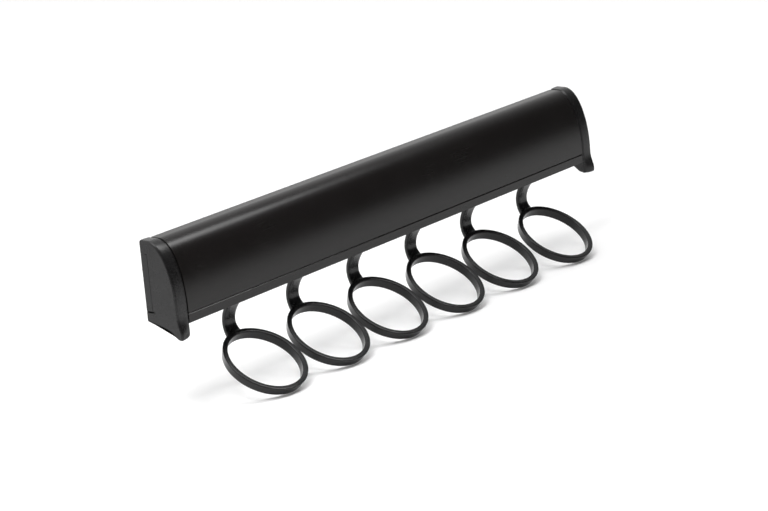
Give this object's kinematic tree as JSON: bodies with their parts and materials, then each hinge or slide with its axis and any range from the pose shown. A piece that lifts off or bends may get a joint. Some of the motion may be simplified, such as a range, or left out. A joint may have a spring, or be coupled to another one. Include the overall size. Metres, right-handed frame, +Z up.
{
  "type": "wall cue rack",
  "caption": "Wall-mounted rack that holds billiard cues upright in rings that slide along a track and fold up below a curved black housing.",
  "frame": {"origin": "on the wall plane, half way between the two wall screws", "axes": "+X along the rack to the right as seen from the room, +Y into the wall, +Z up"},
  "size_m": [0.35, 0.0488, 0.0866],
  "materials": {
    "housing_black": "satin black coating on extruded aluminium",
    "rail_black": "black anodised aluminium",
    "cap_plastic": "fine-textured black moulded plastic",
    "hanger_plastic": "semi-gloss black moulded plastic",
    "slider_plastic": "smooth black moulded plastic",
    "pin_steel": "ground steel",
    "screw_steel": "zinc-plated steel"
  },
  "bodies": {
    "frame": {"housing": "housing_black", "wall_rail": "rail_black", "left_end_cap": "cap_plastic", "right_end_cap": "cap_plastic", "lock_screws": "screw_steel"},
    "carriage_1": {"slider_1": "slider_plastic", "pivot_pin_1": "pin_steel"},
    "hanger_1": {"ring_hanger_1": "hanger_plastic"},
    "carriage_2": {"slider_2": "slider_plastic", "pivot_pin_2": "pin_steel"},
    "hanger_2": {"ring_hanger_2": "hanger_plastic"},
    "carriage_3": {"slider_3": "slider_plastic", "pivot_pin_3": "pin_steel"},
    "hanger_3": {"ring_hanger_3": "hanger_plastic"},
    "carriage_4": {"slider_4": "slider_plastic", "pivot_pin_4": "pin_steel"},
    "hanger_4": {"ring_hanger_4": "hanger_plastic"},
    "carriage_5": {"slider_5": "slider_plastic", "pivot_pin_5": "pin_steel"},
    "hanger_5": {"ring_hanger_5": "hanger_plastic"},
    "carriage_6": {"slider_6": "slider_plastic", "pivot_pin_6": "pin_steel"},
    "hanger_6": {"ring_hanger_6": "hanger_plastic"}
  },
  "joints": [
    {"name": "slide_1", "type": "slide", "parent": "frame", "child": "carriage_1", "axis": [1, 0, 0], "range_m": [-0.0336, 0.00165]},
    {"name": "fold_1", "type": "hinge", "parent": "carriage_1", "child": "hanger_1", "pos_m": [-0.12565, -0.0126, -0.0213], "axis": [-1, 0, 0], "range_deg": [0, 100]},
    {"name": "slide_2", "type": "slide", "parent": "frame", "child": "carriage_2", "axis": [1, 0, 0], "range_m": [-0.00165, 0.00145]},
    {"name": "fold_2", "type": "hinge", "parent": "carriage_2", "child": "hanger_2", "pos_m": [-0.07665, -0.0126, -0.0213], "axis": [-1, 0, 0], "range_deg": [0, 100]},
    {"name": "slide_3", "type": "slide", "parent": "frame", "child": "carriage_3", "axis": [1, 0, 0], "range_m": [-0.00145, 0.0018]},
    {"name": "fold_3", "type": "hinge", "parent": "carriage_3", "child": "hanger_3", "pos_m": [-0.02805, -0.0126, -0.0213], "axis": [-1, 0, 0], "range_deg": [0, 100]},
    {"name": "slide_4", "type": "slide", "parent": "frame", "child": "carriage_4", "axis": [1, 0, 0], "range_m": [-0.0018, 0.00185]},
    {"name": "fold_4", "type": "hinge", "parent": "carriage_4", "child": "hanger_4", "pos_m": [0.02125, -0.0126, -0.0213], "axis": [-1, 0, 0], "range_deg": [0, 100]},
    {"name": "slide_5", "type": "slide", "parent": "frame", "child": "carriage_5", "axis": [1, 0, 0], "range_m": [-0.00185, 0.0033]},
    {"name": "fold_5", "type": "hinge", "parent": "carriage_5", "child": "hanger_5", "pos_m": [0.07065, -0.0126, -0.0213], "axis": [-1, 0, 0], "range_deg": [0, 100]},
    {"name": "slide_6", "type": "slide", "parent": "frame", "child": "carriage_6", "axis": [1, 0, 0], "range_m": [-0.0033, 0.0363]},
    {"name": "fold_6", "type": "hinge", "parent": "carriage_6", "child": "hanger_6", "pos_m": [0.12295, -0.0126, -0.0213], "axis": [-1, 0, 0], "range_deg": [0, 100]}
  ]
}
